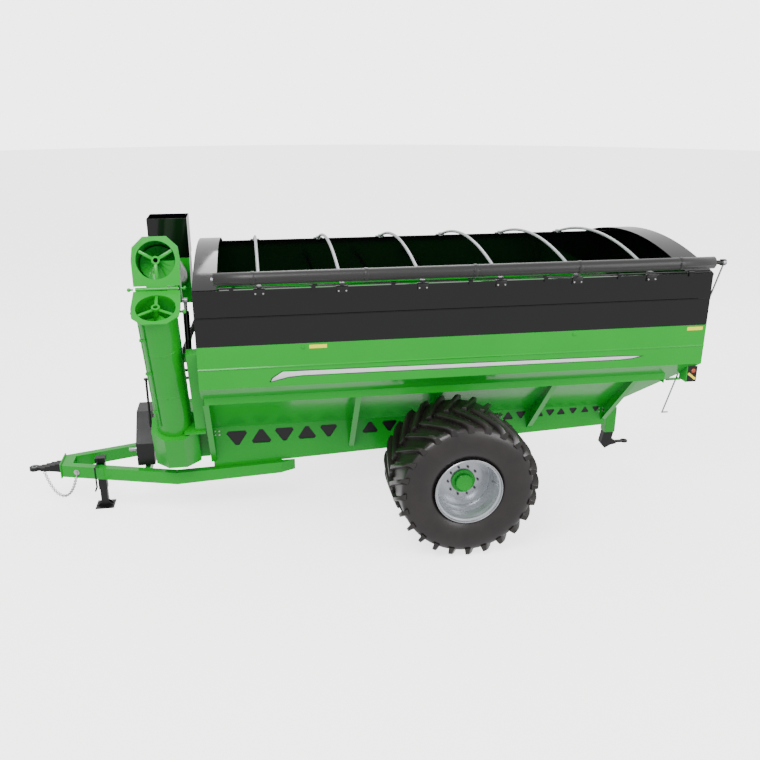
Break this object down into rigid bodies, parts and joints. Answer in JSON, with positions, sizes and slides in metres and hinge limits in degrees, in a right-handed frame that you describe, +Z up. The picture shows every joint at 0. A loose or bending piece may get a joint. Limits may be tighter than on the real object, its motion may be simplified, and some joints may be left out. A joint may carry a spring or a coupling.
{
  "type": "grain cart",
  "caption": "Green and black tractor-drawn grain cart with a sloped tank, flotation tyres, folding corner auger, roll tarp, jack and tongue.",
  "frame": {"origin": "ground level under the centre of the cart's overall length and width", "axes": "+X towards the rear of the cart, +Y to the side away from the folding auger, +Z up"},
  "size_m": [10.215, 5.176, 4.4102],
  "materials": {
    "green_paint": "gloss",
    "black_paint": "gloss",
    "grey_paint": "satin",
    "silver_paint": "satin",
    "bare_steel": "satin",
    "tyre_rubber": "matte",
    "tarp_fabric": "matte",
    "amber_plastic": "gloss"
  },
  "bodies": {
    "chassis": {"side_panel_left": "green_paint", "side_panel_right": "green_paint", "front_wall": "green_paint", "rear_wall": "green_paint", "hopper_sides": "green_paint", "hopper_rear": "green_paint", "sideboard_left": "black_paint", "sideboard_right": "black_paint", "sideboards_end": "black_paint", "end_caps": "black_paint", "tarp_bows": "grey_paint", "inner_braces": "black_paint", "frame_left": "green_paint", "frame_right": "green_paint", "side_rails": "green_paint", "gussets": "green_paint", "auger_trough": "green_paint", "axle_beam": "black_paint", "tongue_beam_left": "green_paint", "tongue_beam_right": "green_paint", "tongue_head": "green_paint", "hitch_tang": "black_paint", "hitch_bush": "bare_steel", "safety_chain": "bare_steel", "jack_tube": "black_paint", "driveline_guard": "black_paint", "gearbox": "black_paint", "auger_sump": "green_paint", "lower_tube": "green_paint", "hinge_pin": "bare_steel", "front_supports": "green_paint", "hose_stand": "black_paint", "ladder": "green_paint", "rear_drawbar": "green_paint", "rear_clevis": "black_paint", "rear_brackets": "green_paint", "lamp_housings": "black_paint", "amber_lenses": "amber_plastic"},
    "wheel_left": {"tyre_left": "tyre_rubber", "rim_left": "silver_paint", "hub_left": "green_paint", "wheel_bolts_left": "bare_steel"},
    "wheel_right": {"tyre_right": "tyre_rubber", "rim_right": "silver_paint", "hub_right": "green_paint", "wheel_bolts_right": "bare_steel"},
    "upper_auger": {"upper_tube": "green_paint"},
    "upper_screw": {"upper_flighting": "bare_steel"},
    "lower_screw": {"lower_flighting": "bare_steel"},
    "floor_screw": {"floor_flighting": "bare_steel"},
    "pto": {"pto_shaft": "bare_steel"},
    "spout": {"spout": "black_paint"},
    "gate": {"flow_gate": "bare_steel"},
    "cylinder_barrel": {"fold_barrel": "black_paint"},
    "cylinder_rod": {"fold_rod": "bare_steel"},
    "jack_foot": {"jack_leg": "black_paint"},
    "jack_handle": {"jack_crank": "black_paint"},
    "tarp": {"tarp_bundle": "tarp_fabric", "tarp_tube": "bare_steel"},
    "tarp_handle": {"tarp_crank": "bare_steel"}
  },
  "joints": [
    {"name": "wheel_left_spin", "type": "hinge", "parent": "chassis", "child": "wheel_left", "pos_m": [1.2475, -1.963, 1.015], "axis": [0, 1, 0], "continuous": true},
    {"name": "wheel_right_spin", "type": "hinge", "parent": "chassis", "child": "wheel_right", "pos_m": [1.2475, 1.963, 1.015], "axis": [0, 1, 0], "continuous": true},
    {"name": "auger_fold", "type": "hinge", "parent": "chassis", "child": "upper_auger", "pos_m": [-2.7525, -1.56295, 3.76439], "axis": [1, 0, 0], "range_deg": [0, 134]},
    {"name": "floor_spin", "type": "hinge", "parent": "chassis", "child": "floor_screw", "pos_m": [1.2475, 0, 1.17136], "axis": [1, 0, 0], "continuous": true},
    {"name": "pto_spin", "type": "hinge", "parent": "chassis", "child": "pto", "pos_m": [-3.2525, 0, 0.85], "axis": [1, 0, 0], "continuous": true},
    {"name": "lower_spin", "type": "hinge", "parent": "chassis", "child": "lower_screw", "pos_m": [-2.7525, -1.9, 3.6], "axis": [0, -0.4384, 0.8988], "continuous": true},
    {"name": "upper_spin", "type": "hinge", "parent": "upper_auger", "child": "upper_screw", "pos_m": [-2.7525, -1.44707, 4.12104], "axis": [0, 0.9511, -0.309], "continuous": true},
    {"name": "spout_tilt", "type": "hinge", "parent": "upper_auger", "child": "spout", "pos_m": [-2.7525, 1.0754, 3.76294], "axis": [-1, 0, 0], "range_deg": [0, 25]},
    {"name": "cylinder_swing", "type": "hinge", "parent": "chassis", "child": "cylinder_barrel", "pos_m": [-2.4225, -1.42962, 2.77245], "axis": [1, 0, 0], "range_deg": [0, 6.86]},
    {"name": "cylinder_extend", "type": "slide", "parent": "cylinder_barrel", "child": "cylinder_rod", "axis": [0, 0.0383, 0.9993], "range_m": [0, 0.46417]},
    {"name": "jack_crank_spin", "type": "hinge", "parent": "chassis", "child": "jack_handle", "pos_m": [-4.0325, -0.50297, 0.788], "axis": [0, 1, 0], "range_deg": [0, 2880]},
    {"name": "jack_slide", "type": "slide", "parent": "chassis", "child": "jack_foot", "axis": [0, 0, 1], "range_m": [0, 0.2]},
    {"name": "gate_slide", "type": "slide", "parent": "chassis", "child": "gate", "axis": [0, 0, 1], "range_m": [0, 0.45]},
    {"name": "tarp_roll", "type": "hinge", "parent": "chassis", "child": "tarp", "pos_m": [1.2475, 0, -2.09135], "axis": [-1, 0, 0], "range_deg": [0, 33]},
    {"name": "tarp_crank_swing", "type": "hinge", "parent": "tarp", "child": "tarp_handle", "pos_m": [5.0075, -1.8, 3.915], "axis": [1, 0, 0], "range_deg": [0, 35]}
  ],
  "couplings": [
    {"joint": "pto_spin", "follows": "floor_spin", "ratio": 1.8},
    {"joint": "lower_spin", "follows": "floor_spin", "ratio": -1.5},
    {"joint": "upper_spin", "follows": "floor_spin", "ratio": -1.5},
    {"joint": "cylinder_swing", "follows": "auger_fold", "ratio": 0.051082},
    {"joint": "cylinder_extend", "follows": "auger_fold", "m_per_rad": 0.19825},
    {"joint": "jack_slide", "follows": "jack_crank_spin", "m_per_rad": 0.0039789}
  ]
}
